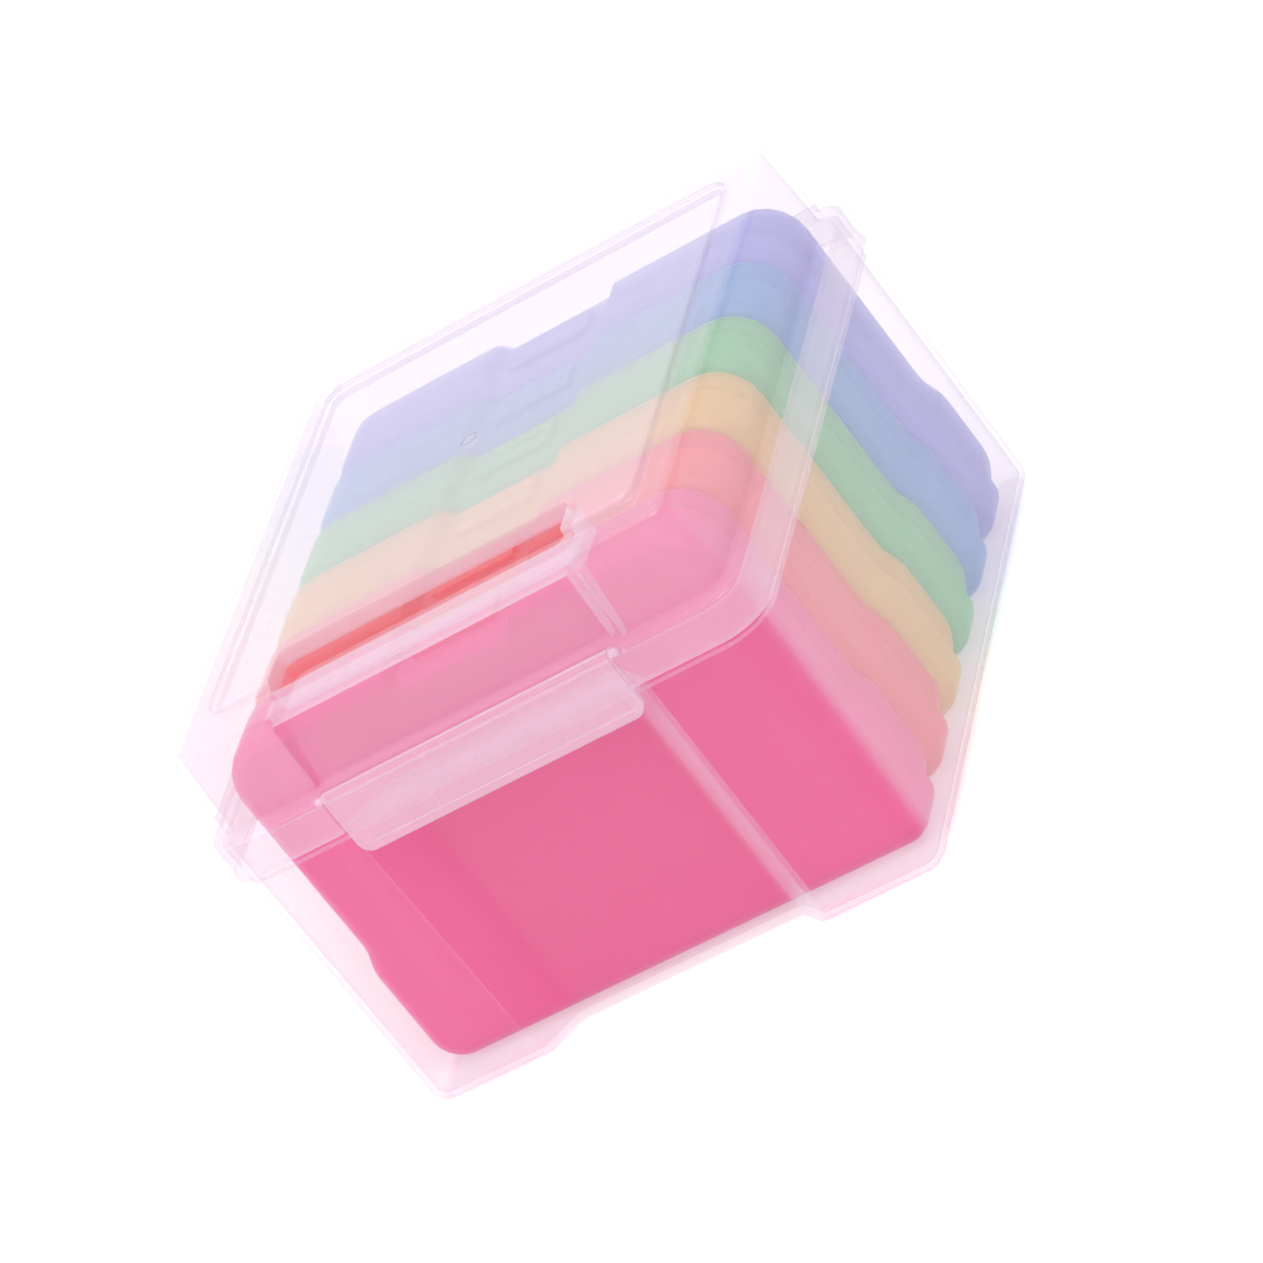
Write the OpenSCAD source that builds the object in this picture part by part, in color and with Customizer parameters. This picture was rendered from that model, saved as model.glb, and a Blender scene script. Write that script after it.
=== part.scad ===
// Keeper box for standing photo cases.
// A clear drafted base and a deep hinged lid with a hanging front latch hold six coloured clamshell
// cases on edge. Millimetres, +Z up, front at -Y, origin at the centre of the base's underside.

/* [Prints and cases] */
// Long side of the prints that a case holds
print_w = 152.4; // [120:0.1:160]
// Short side of the prints that a case holds
print_h = 101.6; // [80:0.1:110]
// Room round a print inside its case
print_gap = 0.8; // [0.4:0.1:3.5]
// Wall thickness of a case
case_wall = 1.2; // [0.8:0.1:1.6]
// Thickness of a closed case
case_t = 28.2; // [24:0.1:32]
// Part of that thickness taken by the case's lid
case_lid_t = 12.6; // [10:0.1:16]
// Height kept above the print for the case's catch
case_head = 8.4; // [6:0.1:12]
// How far the lower part of a case stands out at each side
case_flare = 2.6; // [1:0.1:3]
// Height at which that wider part starts to draw in
flare_z = 34; // [25:1:45]
// Height over which it draws in
flare_run = 10; // [6:1:16]
// Radius of a case's upper corners
case_top_r = 14; // [8:0.5:18]
// Radius of a case's lower corners
case_low_r = 9; // [6:0.5:12]
// Radius of the edges round a case's large faces
case_edge_r = 5; // [3:0.1:6]
// Depth of the finger notch in a case's top edge
notch_depth = 3.2; // [2:0.1:5]
// Half width of that notch at its floor
notch_half = 18; // [12:0.5:24]
// Height of a case's lid above the case's own foot
case_lid_lift = 2; // [1.5:0.1:3]
// Width of the catch tab on a case's lid
tab_w = 26; // [16:1:32]
// Reach of that tab over the case
tab_reach = 7; // [4:0.5:9]
// Radius of the case hinge barrel
case_barrel_r = 1.6; // [1.4:0.1:1.8]
// Length of the case hinge barrel
case_barrel_len = 48; // [30:1:70]
// Radius of the case hinge pins
case_pin_r = 0.8; // [0.6:0.05:0.9]
// Width of each hinge lug on a case
case_lug_w = 3; // [2:0.5:5]

/* [Base] */
// Wall thickness of the base and the lid
wall = 1.8; // [1.4:0.1:2.4]
// Draft of the base's sides in degrees
base_draft = 0.85; // [0.3:0.05:1.2]
// Height of the base
base_h = 96.5; // [90:0.5:104]
// Plan radius of the base's corners at its foot
base_r = 7; // [6:0.5:12]
// Plan radius of the base's corners at its rim
rim_r = 11; // [8:0.5:14]
// Radius of the base's bottom edge
base_edge_r = 4; // [2.5:0.5:6]
// Free space beside the cases' wide parts
side_gap = 1.2; // [0.6:0.1:3]
// Free space between the recess and the first case
front_gap = 0.5; // [0.4:0.1:3]
// Free space behind the last case
back_gap = 7.1; // [3:0.1:9]
// Space between neighbouring cases
case_gap = 0.4; // [0.3:0.05:1]
// Depth of the finger recess in the base's front
recess_depth = 11.2; // [9:0.1:14]
// Width of the recess at the base's front face
recess_w = 95.2; // [80:0.1:110]
// Run of each slanted side of the recess
recess_slant = 11.5; // [6:0.1:16]
// Radius where the sides of the recess meet its floor
recess_r = 5; // [2:0.5:8]
// Distance from the base's rim down to the top of its outside lip
lip_drop = 8.5; // [8:0.5:12]
// Thickness of that lip
lip_t = 2; // [1.5:0.1:3]

/* [Lid] */
// Free height between the cases' tops and the inside of the lid
head_room = 9.7; // [8:0.1:14]
// Space between the base's rim and the lid's skirt
skirt_gap = 1.4; // [1.2:0.1:3]
// Space between the base's rim and the underside of the lid's shoulder
rim_gap = 2.1; // [1.9:0.1:3]
// Free space between the cases and the foot of the lid's sides
lid_side_gap = 2.2; // [0.9:0.1:3]
// Draft of the lid's sides in degrees
lid_draft = 3.3; // [1:0.1:4]
// Plan radius of the skirt's corners
skirt_r = 13; // [12:0.5:20]
// Radius of the skirt's top edge
skirt_edge_r = 2.5; // [1.5:0.1:3]
// Radius of the lid's top edge
lid_edge_r = 3; // [2:0.1:4]
// Margin between the raised panel and the lid's sides
panel_margin = 11; // [8:0.5:16]
// Height of the raised panel
panel_rise = 2; // [1:0.1:3]
// Plan radius of the panel's corners
panel_r = 6; // [3:0.5:10]
// Width of the grip pocket and of the channel below it
grip_w = 96; // [86:1:100]
// Front-to-back size of the grip pocket
pocket_d = 17.5; // [12:0.5:22]
// Radius of the grip pocket's corners
pocket_r = 3; // [1:0.5:6]
// Depth of the grip pocket below the lid's flat margin
pocket_depth = 6.5; // [5:0.1:7]
// Front-to-back size of the grip bar
bar_d = 9.2; // [8:0.1:11]
// Height of the grip bar
bar_h = 4.7; // [4:0.1:6]
// Depth of the channel at the shoulder
channel_foot = 4; // [3:0.1:5]
// Diameter of the ring round the moulding gate
gate_d = 6; // [4:0.5:8]

/* [Latch] */
// Width of the latch
latch_w = 92.4; // [80:0.1:94]
// Gap at each end of the latch
latch_gap = 0.6; // [0.4:0.1:1]
// Height of the latch below its pins
latch_drop = 18.8; // [16:0.1:22]
// Thickness of the latch's plate
latch_t = 1.8; // [1.4:0.1:2]
// Radius of the latch's barrel
latch_barrel_r = 1.6; // [1.5:0.05:1.7]
// Radius of the latch's pins
latch_pin_r = 1; // [0.8:0.05:1.1]
// Length of each latch pin
latch_pin_len = 2.4; // [1.8:0.1:3]
// Radius of the latch's lower corners
latch_r = 4; // [2:0.5:6]
// Gap between the latch's catch ribs and the lip
catch_gap = 0.3; // [0.25:0.05:0.5]
// Width of each catch rib
catch_w = 22; // [14:1:26]
// Distance from each end of the latch to its catch rib
catch_edge = 4; // [2:0.5:12]

/* [Lid hinge] */
// Distance from the middle to each hinge
hinge_x = 50; // [35:1:62]
// Radius of the hinge knuckles
knuckle_r = 3; // [2.6:0.1:3.4]
// Radius of the hinge pins
hinge_pin_r = 1.5; // [1.2:0.05:1.7]
// Width of the lid's knuckle
knuckle_w = 12; // [8:0.5:16]
// Thickness of each ear on the base
ear_t = 2.5; // [2:0.1:4]

/* [Hidden] */
CASES = ["pink", "coral", "amber", "green", "blue", "violet"];

TINTS = [[0.95, 0.48, 0.66], [0.99, 0.55, 0.50], [0.95, 0.78, 0.45],
  [0.50, 0.78, 0.55], [0.48, 0.68, 0.83], [0.68, 0.66, 0.87]];
CLEAR = [0.92, 0.90, 0.92, 0.45];

eps = 0.01;
seat = 0.3;             // gap between pieces that rest on each other
fit = 0.06;             // radial clearance of every pin in its hole
ear_gap = 0.4;          // gap between a knuckle and its ears
hinge_gap = 0.5;        // gap between a knuckle and the lip
CS = 10;                // segments of a plan corner
FS = 4;                 // segments of an edge round

// Cases
case_w = print_w + 2 * (print_gap + case_wall);
case_h = print_h + 2 * case_wall + case_head;
stack_d = len(CASES) * case_t + (len(CASES) - 1) * case_gap;
nest = case_wall + 0.2;  // how far a tray's rim is set in under its lid
nest_len = 2.5;
tray_t = case_t - case_lid_t;
case_bend = case_edge_r - (case_edge_r - case_wall) * sqrt(0.5);  // inside of the edge round

// Base
foot_w = case_w + 2 * (case_flare + side_gap + wall);
foot_d = recess_depth + wall + front_gap + stack_d + back_gap + wall;
rim_w = foot_w + 2 * base_h * tan(base_draft);
rim_d = foot_d + 2 * base_h * tan(base_draft);
stack_y = -foot_d / 2 + recess_depth + wall + front_gap;
case_z = wall + seat;
case_top = case_z + case_h;
lip_top = base_h - lip_drop;
lip_reach = skirt_gap + wall - 0.6;

// Lid
skirt_w = rim_w + 2 * (skirt_gap + wall);
skirt_d = rim_d + 2 * (skirt_gap + wall);
skirt_foot = lip_top + seat;
shoulder_z = base_h + rim_gap + wall;
lid_top = case_top + head_room + wall;
side_w = case_w + 2 * (lid_side_gap + wall);
shoulder_w = (skirt_w - side_w) / 2;
side_d = skirt_d - 2 * shoulder_w;
side_r = skirt_r - shoulder_w + 1;
lean = (lid_top - shoulder_z) * tan(lid_draft);
top_w = side_w - 2 * lean;
top_d = side_d - 2 * lean;
top_r = side_r - lean;
panel_w = top_w - 2 * panel_margin;
panel_d = top_d - 2 * panel_margin - 3;
bar_back = -top_d / 2 + bar_d;
pocket_floor = lid_top - pocket_depth;
channel_top = lid_top - bar_h;
channel_back = bar_back - wall;

// Latch
skirt_front = -skirt_d / 2;
latch_y = skirt_front + latch_barrel_r + 0.45;
latch_z = shoulder_z - latch_barrel_r;
latch_face = skirt_front + 0.25;
latch_inner = latch_face + latch_t;
shoulder_front = latch_y + latch_barrel_r + 0.9;
lip_front = latch_inner + 0.75;
latch_foot = latch_z - latch_drop;

// Lid hinge
lip_back = rim_d / 2 - lip_drop * tan(base_draft) + lip_reach;
hinge_y = lip_back + hinge_gap + knuckle_r;
hinge_z = lip_top - lip_t;

// Corner arc of n segments, as [x, y] points
function arc(cx, cy, r, a0, n) =
  [for (k = [0:n]) [cx + r * cos(a0 + 90 * k / n), cy + r * sin(a0 + 90 * k / n)]];

// Rounded rectangle round the origin, anticlockwise
function rounded(w, d, r) = let(x = w / 2 - r, y = d / 2 - r)
  concat(arc(x, y, r, 0, CS), arc(-x, y, r, 90, CS), arc(-x, -y, r, 180, CS), arc(x, -y, r, 270, CS));

// One ring of a loft: a rounded rectangle at height z
function ring(z, w, d, r) = [for (p = rounded(w, d, max(r, 0.5))) [p[0], p[1], z]];

// Rings of a quarter round at the edge of a rounded rectangle.
// up = 1 closes towards +Z, up = -1 opens from -Z.
function edge_rings(z, w, d, r, e, up) = [for (k = [0:FS])
  let(a = up > 0 ? 90 * k / FS : 90 - 90 * k / FS, i = e * (1 - cos(a)), h = e * (1 - sin(a)))
  ring(z - up * h, w - 2 * i, d - 2 * i, r - i)];

// Closed skin through rings that all have the same number of points
module loft(rings) {
  n = len(rings[0]);
  m = len(rings);
  sides = [for (j = [0:m - 2]) for (i = [0:n - 1]) let(k = (i + 1) % n, a = j * n, b = a + n)
    each [[a + i, b + i, b + k], [a + i, b + k, a + k]]];
  foot = [for (i = [0:n - 1]) i];
  head = [for (i = [n - 1:-1:0]) (m - 1) * n + i];
  polyhedron(points = [for (r = rings) each r], faces = concat(sides, [foot, head]), convexity = 8);
}

// A profile drawn in Y and Z, run along X for the given length about x
module along_x(x, length) {
  translate([x - length / 2, 0, 0])
    rotate([90, 0, 90])
      linear_extrude(length, convexity = 6)
        children();
}

module rod(x, length, y, z, r) {
  translate([x - length / 2, y, z])
    rotate([0, 90, 0])
      cylinder(h = length, r = r, $fn = 48);
}

// Plan of the finger recess, grown outwards by g. Its sides run on past the front face.
module recess_plan(g) {
  front = -rim_d / 2;
  floor_y = -foot_d / 2 + recess_depth;
  half = recess_w / 2;
  past = recess_depth * recess_slant / (floor_y - front);
  offset(r = g + recess_r, $fn = 32)
    offset(r = -recess_r, $fn = 32)
      polygon([[-half - past, front - recess_depth], [half + past, front - recess_depth],
        [half - recess_slant, floor_y], [-half + recess_slant, floor_y]]);
}

module recess_block(g, top) {
  translate([0, 0, -1])
    linear_extrude(top + 1, convexity = 6)
      recess_plan(g);
}

module ear(x) {
  along_x(x, ear_t)
    union() {
      translate([hinge_y, hinge_z])
        circle(r = knuckle_r + 0.2, $fn = 48);
      polygon([[lip_back - lip_reach - wall / 2, lip_top], [lip_back + hinge_gap, lip_top],
        [hinge_y, hinge_z + knuckle_r], [hinge_y + knuckle_r, hinge_z], [hinge_y, hinge_z - knuckle_r - 0.2],
        [lip_back - lip_reach - wall / 2, hinge_z - 3 * knuckle_r]]);
    }
}

module outer_base() {
  hole_r = hinge_pin_r + fit;
  ear_x = knuckle_w / 2 + ear_gap + ear_t / 2;
  lip_grow = 2 * (lip_reach - lip_drop * tan(base_draft));
  color(CLEAR)
    difference() {
      union() {
        loft(concat(edge_rings(0, foot_w, foot_d, base_r, base_edge_r, -1),
          [ring(base_h, rim_w, rim_d, rim_r)]));
        difference() {
          loft([for (z = [lip_top - lip_t, lip_top])
            ring(z, rim_w + lip_grow, rim_d + lip_grow, rim_r + lip_grow / 2)]);
          translate([-latch_w / 2 - latch_gap, -rim_d, 0])
            cube([latch_w + 2 * latch_gap, rim_d + lip_front, base_h]);
        }
        for (s = [-1, 1])
          for (e = [-1, 1])
            ear(s * hinge_x + e * ear_x);
      }
      difference() {
        loft(concat(
          edge_rings(wall, foot_w - 2 * wall, foot_d - 2 * wall, base_r - wall, base_edge_r - wall, -1),
          [for (z = [base_h, base_h + 1]) ring(z, rim_w - 2 * wall, rim_d - 2 * wall, rim_r - wall)]));
        recess_block(wall, lip_top - lip_t + wall);
      }
      recess_block(0, lip_top - lip_t);
      for (s = [-1, 1])
        rod(s * hinge_x, knuckle_w + 4 * ear_t, hinge_y, hinge_z, hole_r);
    }
}

// Front channel of the lid, as a profile in Y and Z grown inwards by g
module channel_profile(g) {
  foot_y = -side_d / 2 + channel_foot;
  polygon([[-skirt_d, shoulder_z - (g > 0 ? wall : 0)], [foot_y + g, shoulder_z - (g > 0 ? wall : 0)],
    [channel_back + g, channel_top + g], [-skirt_d, channel_top + g]]);
}

// Grip pocket of the lid from a height upwards, grown outwards by g
module pocket_block(g, floor_z) {
  translate([0, bar_back + pocket_d / 2, floor_z])
    linear_extrude(lid_top, convexity = 4)
      offset(r = pocket_r + g, $fn = 32)
        square([grip_w - 2 * pocket_r, pocket_d - 2 * pocket_r], center = true);
}

module lid_arm(x) {
  arm_top = shoulder_z - skirt_edge_r - 1;
  back = skirt_d / 2;
  along_x(x, knuckle_w)
    union() {
      translate([hinge_y, hinge_z])
        circle(r = knuckle_r, $fn = 48);
      polygon([[hinge_y - knuckle_r, hinge_z], [hinge_y + knuckle_r, hinge_z],
        [hinge_y + knuckle_r, hinge_z + knuckle_r], [back, arm_top], [back - wall / 2, arm_top],
        [back - wall / 2, skirt_foot], [hinge_y - knuckle_r, skirt_foot]]);
    }
  rod(x, knuckle_w + 2 * (ear_gap + ear_t), hinge_y, hinge_z, hinge_pin_r);
}

module outer_lid() {
  boss_w = latch_pin_len + 1;
  boss_x = latch_w / 2 + latch_gap;
  inner_top = lid_top - wall;
  color(CLEAR)
    difference() {
      union() {
        loft(concat([ring(skirt_foot, skirt_w, skirt_d, skirt_r)],
          edge_rings(shoulder_z, skirt_w, skirt_d, skirt_r, skirt_edge_r, 1),
          [ring(shoulder_z, side_w, side_d, side_r)],
          edge_rings(lid_top, top_w + 0.35, top_d + 0.35, top_r, lid_edge_r, 1)));
        loft(concat([ring(lid_top - eps, panel_w, panel_d, panel_r)],
          edge_rings(lid_top + panel_rise, panel_w, panel_d, panel_r, panel_rise / 2, 1)));
        for (s = [-1, 1])
          lid_arm(s * hinge_x);
      }
      difference() {
        union() {
          loft([ring(skirt_foot - 1, skirt_w - 2 * wall, skirt_d - 2 * wall, skirt_r - wall),
            ring(shoulder_z - wall, skirt_w - 2 * wall, skirt_d - 2 * wall, skirt_r - wall),
            ring(shoulder_z - wall, side_w - 2 * wall, side_d - 2 * wall, side_r - wall),
            ring(inner_top, top_w - 2 * wall, top_d - 2 * wall, top_r - wall)]);
          loft([ring(inner_top - 1, panel_w - 2 * wall, panel_d - 2 * wall, panel_r - wall),
            ring(inner_top + panel_rise, panel_w - 2 * wall, panel_d - 2 * wall, panel_r - wall)]);
        }
        // walls of the grip pocket and of the front channel
        pocket_block(wall, pocket_floor - wall);
        along_x(0, grip_w + 2 * wall)
          channel_profile(wall);
        // bosses that hold the latch's pins
        for (s = [-1, 1])
          translate([s > 0 ? boss_x : -boss_x - boss_w, -skirt_d, latch_z - latch_barrel_r])
            cube([boss_w, skirt_d + latch_y + latch_barrel_r, wall + 2 * latch_barrel_r]);
      }
      pocket_block(0, pocket_floor);
      along_x(0, grip_w)
        channel_profile(0);
      // the bar is moulded hollow, open from below
      translate([-grip_w / 2, wall - top_d / 2, channel_top - 1])
        cube([grip_w, bar_d - 2 * wall, bar_h - wall + 1]);
      // opening for the latch, and its pin holes
      translate([-boss_x, -skirt_d, 0])
        cube([2 * boss_x, skirt_d + shoulder_front, shoulder_z + 1]);
      rod(0, latch_w + 2 * latch_pin_len + 0.8, latch_y, latch_z, latch_pin_r + fit);
      // ring round the moulding gate
      translate([0, 0, lid_top + panel_rise - 0.5])
        difference() {
          cylinder(h = 1, r = gate_d / 2, $fn = 48);
          translate([0, 0, -eps])
            cylinder(h = 2, r = gate_d / 2 - 1, $fn = 48);
        }
    }
}

module front_latch() {
  catch_top = lip_top - lip_t - catch_gap;
  catch_h = 3.6;
  catch_in = lip_front - catch_gap;
  color(CLEAR)
    union() {
      rod(0, latch_w, latch_y, latch_z, latch_barrel_r);
      rod(0, latch_w + 2 * latch_pin_len, latch_y, latch_z, latch_pin_r);
      translate([0, latch_inner, 0])
        rotate([90, 0, 0])
          linear_extrude(latch_t, convexity = 4)
            union() {
              translate([-latch_w / 2, latch_foot + latch_r])
                square([latch_w, latch_drop - latch_r]);
              translate([-latch_w / 2 + latch_r, latch_foot])
                square([latch_w - 2 * latch_r, latch_r + eps]);
              for (s = [-1, 1])
                translate([s * (latch_w / 2 - latch_r), latch_foot + latch_r])
                  circle(r = latch_r, $fn = 48);
            }
      for (s = [-1, 1])
        translate([s * (latch_w / 2 - catch_edge - catch_w / 2) - catch_w / 2, latch_inner - eps, catch_top - catch_h])
          cube([catch_w, catch_in - latch_inner + eps, catch_h]);
      // finger lip along the lower edge
      translate([-latch_w / 2 + latch_r, latch_inner - eps, latch_foot])
        cube([latch_w - 2 * latch_r, 1, 1.4]);
    }
}

// Outline of a case half, inset by i: anticlockwise from the middle of the foot
function case_side(i, low_r, foot) = concat(
  arc(case_w / 2 + case_flare - low_r, foot + low_r, low_r - i, -90, 5),
  [for (k = [0:4]) [case_w / 2 - i + case_flare * (1 + cos(45 * k)) / 2, flare_z + flare_run * k / 4]],
  arc(case_w / 2 - case_top_r, case_h - case_top_r, case_top_r - i, 0, 5),
  [[notch_half + notch_depth - i / 2, case_h - i], [notch_half - i / 2, case_h - notch_depth - i]]);

function case_ring(t, i, low_r, foot) = let(s = case_side(i, low_r, foot), n = len(s))
  concat([for (p = s) [p[0], p[1], t]], [for (k = [n - 1:-1:0]) [-s[k][0], s[k][1], t]]);

// Rings of the round at a case's large face, from the sides to the face at t
function case_edge(t, low_r, foot, up) = [for (k = [0:3])
  let(a = up > 0 ? 30 * k : 90 - 30 * k, i = case_edge_r * (1 - cos(a)), h = case_edge_r * (1 - sin(a)))
  case_ring(t - up * h, i, low_r, foot)];

// Stands a case, drawn lying on its back with its front face up, in its place
module placed(index) {
  translate([0, stack_y + index * (case_t + case_gap) + case_t, case_z])
    rotate([90, 0, 0])
      children();
}

module case_tray(index) {
  lug_x = case_barrel_len / 2 + ear_gap + case_lug_w / 2;
  color(TINTS[index])
    placed(index)
      difference() {
        union() {
          loft(concat([case_ring(case_lid_t - nest_len, nest, case_top_r, case_lid_lift),
              case_ring(case_lid_t, nest, case_top_r, case_lid_lift),
              case_ring(case_lid_t, 0, case_low_r, 0)],
            case_edge(case_t, case_low_r, 0, 1)));
          for (s = [-1, 1])
            rod(s * lug_x, case_lug_w, case_barrel_r, case_lid_t, case_barrel_r);
        }
        loft([case_ring(case_lid_t - nest_len - 1, nest + case_wall, case_top_r, case_lid_lift),
          case_ring(case_lid_t + 1, nest + case_wall, case_top_r, case_lid_lift),
          case_ring(case_lid_t + nest, case_wall, case_low_r, 0),
          case_ring(case_t - case_edge_r, case_wall, case_low_r, 0),
          case_ring(case_t - case_bend, case_bend, case_low_r, 0),
          case_ring(case_t - case_wall, case_edge_r, case_low_r, 0)]);
        // room for the hinge barrel, and its pin holes
        rod(0, case_barrel_len + 2 * ear_gap, case_barrel_r, case_lid_t, case_barrel_r + ear_gap);
        rod(0, case_barrel_len + 2 * (ear_gap + case_lug_w) + 1, case_barrel_r, case_lid_t, case_pin_r + fit);
      }
}

module case_lid(index) {
  tab_z = case_h - notch_depth;
  color(TINTS[index] * 0.96)
    placed(index)
      union() {
        difference() {
          loft(concat(case_edge(0, case_top_r, case_lid_lift, -1),
            [case_ring(case_lid_t - eps, 0, case_top_r, case_lid_lift)]));
          loft([case_ring(case_wall, case_edge_r, case_top_r, case_lid_lift),
            case_ring(case_bend, case_bend, case_top_r, case_lid_lift),
            case_ring(case_edge_r, case_wall, case_top_r, case_lid_lift),
            case_ring(case_lid_t + 1, case_wall, case_top_r, case_lid_lift)]);
          // the tray's hinge lugs turn here
          for (s = [-1, 1])
            rod(s * (case_barrel_len / 2 + ear_gap + case_lug_w / 2), case_lug_w + 2 * ear_gap,
              case_barrel_r, case_lid_t, case_barrel_r + ear_gap);
        }
        rod(0, case_barrel_len, case_barrel_r, case_lid_t, case_barrel_r);
        rod(0, case_barrel_len + 2 * (ear_gap + case_lug_w), case_barrel_r, case_lid_t, case_pin_r);
        // catch tab in the finger notch
        translate([-tab_w / 2, tab_z + 0.2, case_lid_t - 4])
          cube([tab_w, case_wall, tab_reach + 4]);
        translate([-tab_w / 2, tab_z - case_wall / 2, case_lid_t - 4])
          cube([tab_w, case_wall, 3.4]);
      }
}

outer_base();
outer_lid();
front_latch();
for (i = [0:len(CASES) - 1]) {
  case_tray(i);
  case_lid(i);
}
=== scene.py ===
import math

import bpy
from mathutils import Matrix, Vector


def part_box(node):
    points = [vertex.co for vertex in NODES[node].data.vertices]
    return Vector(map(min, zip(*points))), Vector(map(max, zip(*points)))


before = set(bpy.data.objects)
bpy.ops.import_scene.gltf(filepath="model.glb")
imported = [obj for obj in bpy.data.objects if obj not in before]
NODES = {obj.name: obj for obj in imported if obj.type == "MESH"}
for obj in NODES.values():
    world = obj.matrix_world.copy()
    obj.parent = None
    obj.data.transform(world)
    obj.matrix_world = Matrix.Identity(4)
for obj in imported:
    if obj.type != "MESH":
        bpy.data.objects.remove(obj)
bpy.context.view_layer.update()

# ---- Finishes ----

# The clear box: what one skin lets through, and the milk that it scatters. Their pink-lavender cast is
# partly the plastic's own faint tint and partly a painted glow of the coloured cases inside.
CLEAR_TINT_AND_GLOW = (0.985, 0.968, 0.977)
CLEAR_MILK_AND_GLOW = (0.86, 0.80, 0.90)
# The colour of the painted highlight line on the clear box's rounded edges.
CLEAR_EDGE_HIGHLIGHT = (0.98, 0.94, 0.98)
CLEAR_GLOSS = {"rough": 0.12, "ior": 2.0}
CLEAR_RIM = 0.62
BOX_EDGE_ROUND = 0.0006

# The lid's frosted panel and its milkier front: where they end, and how much they hide at least.
PANEL_HALF_WIDTH = 0.0697
PANEL_FRONT = -0.0812
PANEL_BACK = 0.0808
PANEL_DEPTH = 0.0045
PANEL_HIDES = 0.36
FRONT_BACK = -0.0870
FRONT_HIDES = 0.18

# The inner cases, from front to back, and how much each half hides, seen square on.
CASE_COLOURS = {
    "pink": (0.96, 0.10, 0.42),
    "coral": (1.0, 0.20, 0.20),
    "amber": (0.93, 0.68, 0.16),
    "green": (0.18, 0.74, 0.29),
    "blue": (0.12, 0.46, 0.84),
    "violet": (0.34, 0.38, 0.85),
}
CASE_HALVES = {"tray": 0.50, "lid": 0.38}
CASE_RIM = 0.82
CASE_TINT_POWER = 0.22
# How far the case edges are whitened: a painted highlight line along each edge.
CASE_EDGE_HIGHLIGHT = 0.35
CASE_EDGE_ROUND = 0.0003

# What all the plastics share: bumps and slow changes per metre, and the light that a skin lets on.
GRAIN_SCALE = 900.0
FLOW_SCALE = 26.0
TILT_POWER = 2.5
SHADOW_SHARE = 0.4

# ---- Camera, light and floor, as in the photograph ----

CAMERA_PLACE = (0.77656, -1.43948, 0.72232)
CAMERA_TURN_DEGREES = (62.495, 35.154, 11.549)
CAMERA_LENS = 185.1
CAMERA_SENSOR = 36.0
CAMERA_SHIFT = (-0.0024, -0.0021)
FLOOR_HALF = 6.0
FLOOR_GLOW = 0.3
ROOM_LIGHT = 0.66
ROOM_SEEN = 1.0
LAMPS = {
    "key": {"place": (0.9, -0.9, 1.5), "aim": (0, 0, 0.06), "size": (0.9, 0.9), "power": 13},
    "fill": {"place": (-1.2, -0.9, 0.8), "aim": (0, 0, 0.06), "size": (0.9, 0.9), "power": 6},
    "top": {"place": (-0.1, 0.4, 1.7), "aim": (0, 0, 0.1), "size": (1.2, 1.2), "power": 7},
}


class Tree:
    """A new material's node tree, with short ways to add what plastic needs."""

    def __init__(self, name):
        self.mat = bpy.data.materials.new(name)
        self.mat.use_nodes = True
        self.nt = self.mat.node_tree
        self.nt.nodes.clear()
        self.out = self.add("ShaderNodeOutputMaterial")
        self.place = self.add("ShaderNodeTexCoord").outputs["Object"]

    def add(self, kind, **settings):
        node = self.nt.nodes.new(kind)
        for key, value in settings.items():
            setattr(node, key, value)
        return node

    def link(self, a, b):
        self.nt.links.new(a, b)

    def feed(self, socket, value):
        if hasattr(value, "is_output"):
            self.link(value, socket)
        else:
            socket.default_value = value

    def math(self, operation, a, b=0.0, clamp=False):
        node = self.add("ShaderNodeMath", operation=operation, use_clamp=clamp)
        for socket, value in zip(node.inputs, (a, b)):
            self.feed(socket, value)
        return node.outputs[0]

    def noise(self, scale, detail, rough):
        node = self.add("ShaderNodeTexNoise")
        self.link(self.place, node.inputs["Vector"])
        node.inputs["Scale"].default_value = scale
        node.inputs["Detail"].default_value = detail
        node.inputs["Roughness"].default_value = rough
        return node.outputs[0]

    def spread(self, value, low, high, start=0.0, end=1.0):
        """Takes value from start to end onto low to high, and holds it there."""
        node = self.add("ShaderNodeMapRange")
        for socket, number in zip(node.inputs, (value, start, end, low, high)):
            self.feed(socket, number)
        return node.outputs[0]

    def bump(self, height, strength, distance):
        node = self.add("ShaderNodeBump")
        self.link(height, node.inputs["Height"])
        node.inputs["Strength"].default_value = strength
        node.inputs["Distance"].default_value = distance
        return node.outputs[0]

    def inside(self, low, high, soft):
        """1 inside a box in the object's own coordinates, falling to 0 over soft outside it."""
        xyz = self.add("ShaderNodeSeparateXYZ")
        self.link(self.place, xyz.inputs[0])
        total = None
        for k in range(3):
            for start, end in ((low[k] - soft, low[k]), (high[k] + soft, high[k])):
                step = self.spread(xyz.outputs[k], 0.0, 1.0, start, end)
                total = step if total is None else self.math("MULTIPLY", total, step)
        return total


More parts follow.
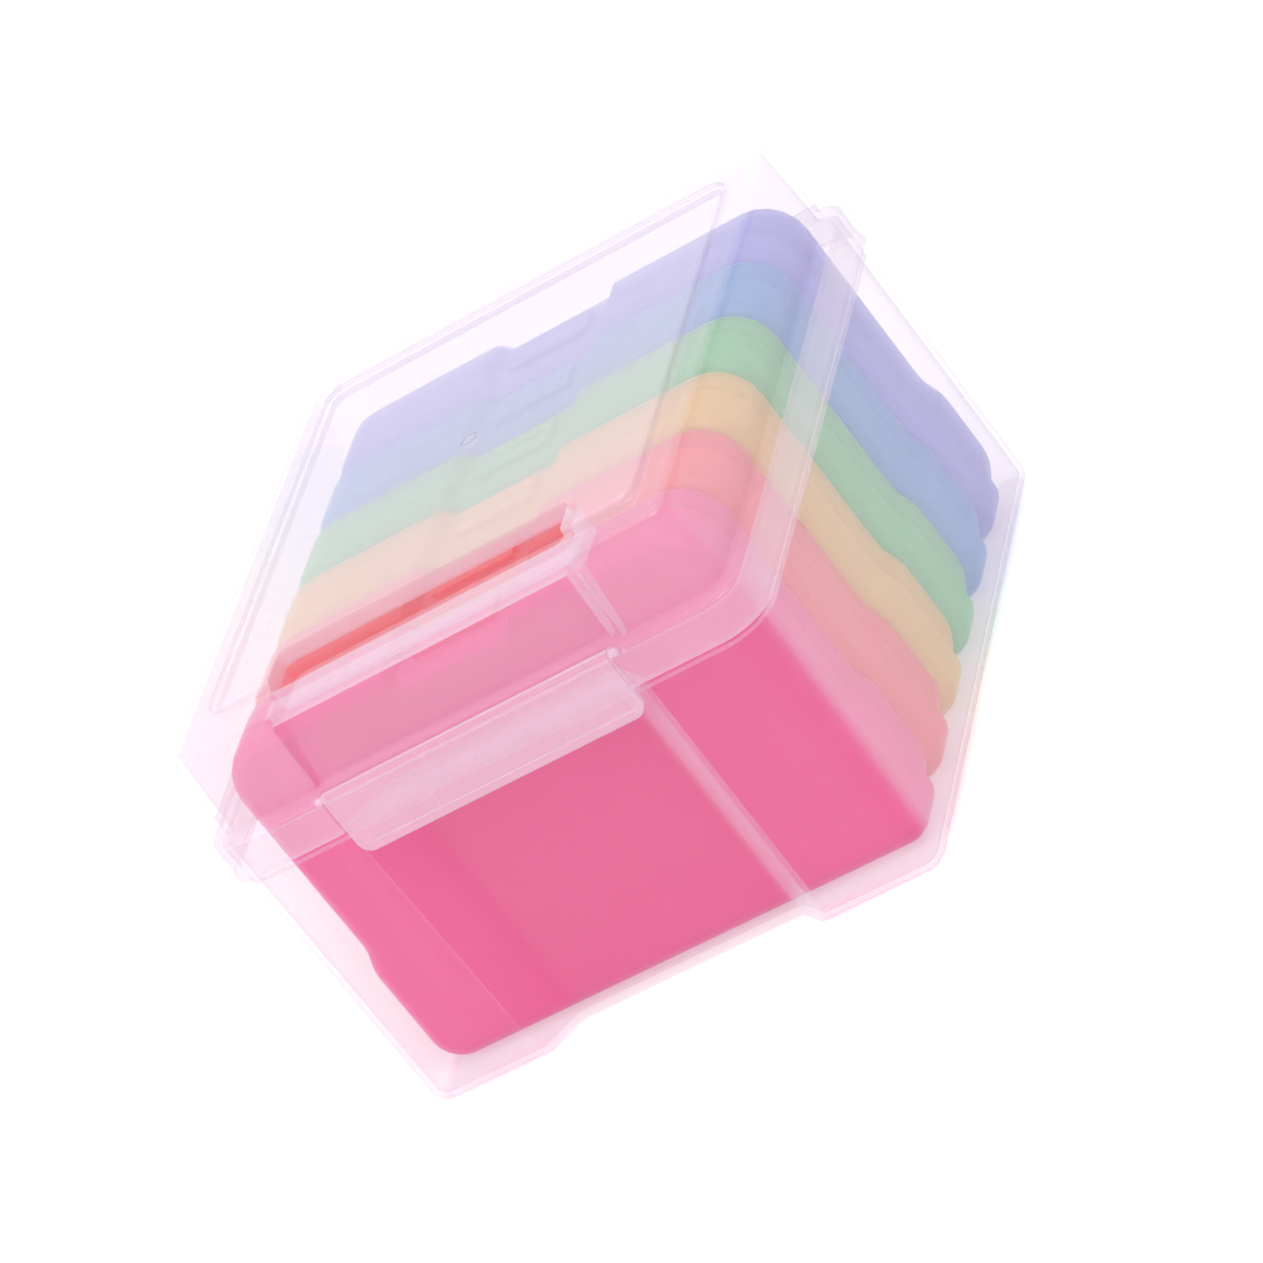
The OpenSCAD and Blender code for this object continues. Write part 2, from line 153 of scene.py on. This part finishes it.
def moulded(name, colour, tint, rough, face, rim, ior=1.5, haze=()):
    """Moulded see-through plastic. tint is what one skin lets through; face and rim are how much it
    hides, seen square on and edge on. Each haze is a box, its soft border and how much it hides at
    least. Light on its way to a lit surface loses less than sight does, because a milky skin
    scatters it onwards."""
    t = Tree(name)
    skin = t.add("ShaderNodeBsdfPrincipled")
    skin.inputs["Base Color"].default_value = (*colour, 1.0)
    skin.inputs["IOR"].default_value = ior
    grain = t.noise(GRAIN_SCALE, 4.0, 0.6)
    flow = t.noise(FLOW_SCALE, 2.0, 0.5)
    t.link(t.spread(flow, rough * 0.8, rough * 1.25), skin.inputs["Roughness"])
    t.link(t.bump(grain, 0.04, 0.0002), skin.inputs["Normal"])
    tilt = t.add("ShaderNodeLayerWeight")
    tilt.inputs["Blend"].default_value = 0.5
    hide = t.spread(t.math("POWER", tilt.outputs["Facing"], TILT_POWER), face, rim)
    for low, high, soft, least in haze:
        frost = t.inside(low, high, soft)
        hide = t.math("MAXIMUM", hide, t.math("MULTIPLY", frost, least))
    hide = t.math("MULTIPLY", hide, t.spread(flow, 0.94, 1.06), clamp=True)
    path = t.add("ShaderNodeLightPath")
    hide = t.math("MULTIPLY", hide, t.spread(path.outputs["Is Shadow Ray"], 1.0, SHADOW_SHARE), clamp=True)
    clear = t.add("ShaderNodeBsdfTransparent")
    clear.inputs["Color"].default_value = (*tint, 1.0)
    both = t.add("ShaderNodeMixShader")
    t.link(hide, both.inputs[0])
    t.link(clear.outputs[0], both.inputs[1])
    t.link(skin.outputs[0], both.inputs[2])
    t.link(both.outputs[0], t.out.inputs["Surface"])
    return t.mat


def soften(node, width):
    """Rounds a CAD node's edges a little, as a mould leaves them. The rounds take the node's second
    material, a whiter, denser painted highlight line along each moulded edge."""
    weld = node.modifiers.new("join", "WELD")
    weld.merge_threshold = 2e-6
    edge = node.modifiers.new("edges", "BEVEL")
    edge.width = width
    edge.segments = 2
    edge.limit_method = "ANGLE"
    edge.angle_limit = math.radians(38)
    edge.use_clamp_overlap = True
    edge.material = 1
    for face in node.data.polygons:
        face.use_smooth = True
    even = node.modifiers.new("even", "WEIGHTED_NORMAL")
    even.mode = "FACE_AREA_WITH_ANGLE"
    even.weight = 60
    even.keep_sharp = True


def dress(node, body, edge, edge_round):
    node.data.materials.clear()
    node.data.materials.append(body)
    node.data.materials.append(edge)
    soften(node, edge_round)


def stand_camera():
    data = bpy.data.cameras.new("camera")
    data.sensor_width = CAMERA_SENSOR
    data.lens = CAMERA_LENS
    data.shift_x, data.shift_y = CAMERA_SHIFT
    data.clip_end = 20.0
    camera = bpy.data.objects.new("camera", data)
    camera.location = CAMERA_PLACE
    camera.rotation_euler = [math.radians(angle) for angle in CAMERA_TURN_DEGREES]
    bpy.context.scene.collection.objects.link(camera)
    bpy.context.scene.camera = camera


def soft_light(name, place, aim, size, power):
    data = bpy.data.lights.new(name, "AREA")
    data.shape = "RECTANGLE"
    data.size, data.size_y = size
    data.energy = power
    lamp = bpy.data.objects.new(name, data)
    lamp.location = place
    lamp.rotation_euler = (Vector(aim) - Vector(place)).to_track_quat("-Z", "Y").to_euler()
    bpy.context.scene.collection.objects.link(lamp)


def lay_floor():
    """A pale floor that looks white to the camera, straight on, mirrored or through glass."""
    mesh = bpy.data.meshes.new("floor")
    s = FLOOR_HALF
    mesh.from_pydata([(-s, -s, 0), (s, -s, 0), (s, s, 0), (-s, s, 0)], [], [(0, 1, 2, 3)])
    floor = bpy.data.objects.new("floor", mesh)
    bpy.context.scene.collection.objects.link(floor)
    t = Tree("pale_floor")
    skin = t.add("ShaderNodeBsdfPrincipled")
    skin.inputs["Base Color"].default_value = (0.9, 0.9, 0.9, 1)
    skin.inputs["Roughness"].default_value = 0.9
    skin.inputs["Emission Color"].default_value = (1, 1, 1, 1)
    path = t.add("ShaderNodeLightPath")
    seen = t.math("MAXIMUM", path.outputs["Is Camera Ray"], path.outputs["Is Glossy Ray"])
    seen = t.math("MAXIMUM", seen, path.outputs["Is Transmission Ray"])
    t.link(t.math("MULTIPLY", seen, FLOOR_GLOW), skin.inputs["Emission Strength"])
    t.link(skin.outputs[0], t.out.inputs["Surface"])
    mesh.materials.append(t.mat)


def light_room():
    """A plain white room: as bright as the lamps need, and white where it is seen or mirrored."""
    world = bpy.data.worlds.new("studio")
    bpy.context.scene.world = world
    world.use_nodes = True
    nt = world.node_tree
    back = nt.nodes["Background"]
    path = nt.nodes.new("ShaderNodeLightPath")
    seen = nt.nodes.new("ShaderNodeMath")
    seen.operation = "MAXIMUM"
    nt.links.new(path.outputs["Is Camera Ray"], seen.inputs[0])
    nt.links.new(path.outputs["Is Glossy Ray"], seen.inputs[1])
    level = nt.nodes.new("ShaderNodeMapRange")
    level.inputs["To Min"].default_value = ROOM_LIGHT
    level.inputs["To Max"].default_value = ROOM_SEEN
    nt.links.new(seen.outputs[0], level.inputs["Value"])
    nt.links.new(level.outputs[0], back.inputs["Strength"])
    back.inputs["Color"].default_value = (1, 1, 1, 1)
    for name, lamp in LAMPS.items():
        soft_light(name, **lamp)


def clear_plastic(name, face, rim=CLEAR_RIM, colour=CLEAR_MILK_AND_GLOW, haze=()):
    return moulded(name, colour, CLEAR_TINT_AND_GLOW, face=face, rim=rim, haze=haze, **CLEAR_GLOSS)


def dress_box():
    """The clear base, lid and latch. The lid has a frosted panel and a milkier front."""
    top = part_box("outer_lid")[1].z
    over = 0.001
    panel_low = (-PANEL_HALF_WIDTH, PANEL_FRONT, top - PANEL_DEPTH)
    panel_high = (PANEL_HALF_WIDTH, PANEL_BACK, top + over)
    front_low = (-0.2, -0.2, 0.0)
    front_high = (0.2, FRONT_BACK, top + over)
    haze = (
        (panel_low, panel_high, 0.0006, PANEL_HIDES),
        (front_low, front_high, 0.004, FRONT_HIDES),
    )
    # The rounded edges take a whiter, more opaque material: a painted highlight line.
    edge = moulded("clear_edge_highlight", CLEAR_EDGE_HIGHLIGHT, CLEAR_TINT_AND_GLOW, 0.10, 0.40, 0.75, ior=2.0)
    bodies = {
        "outer_base": clear_plastic("clear_plastic", 0.06),
        "outer_lid": clear_plastic("clear_lid_plastic", 0.09, haze=haze),
        "front_latch": clear_plastic("latch_plastic", 0.26, rim=0.65),
    }
    for name, body in bodies.items():
        dress(NODES[name], body, edge, BOX_EDGE_ROUND)


def dress_cases():
    """The coloured cases. Each half lets its own colour through, and its rounded edges take a paler
    painted highlight.
    """
    for name, colour in CASE_COLOURS.items():
        tint = tuple(c ** CASE_TINT_POWER for c in colour)
        # A paler, more opaque copy of the case colour on the rounded edges: a painted highlight.
        pale = tuple((1 - CASE_EDGE_HIGHLIGHT) * c + CASE_EDGE_HIGHLIGHT for c in colour)
        edge = moulded(name + "_edge", pale, tint, 0.25, 0.50, 0.85)
        for half, face in CASE_HALVES.items():
            body = moulded(f"{name}_{half}_plastic", colour, tint, 0.3, face, CASE_RIM)
            dress(NODES[f"{name}_case_{half}"], body, edge, CASE_EDGE_ROUND)


stand_camera()
lay_floor()
light_room()
dress_box()
dress_cases()

scene = bpy.context.scene
scene.view_settings.view_transform = "Standard"
scene.cycles.transparent_max_bounces = 64
scene.cycles.max_bounces = 16
scene.cycles.diffuse_bounces = 6
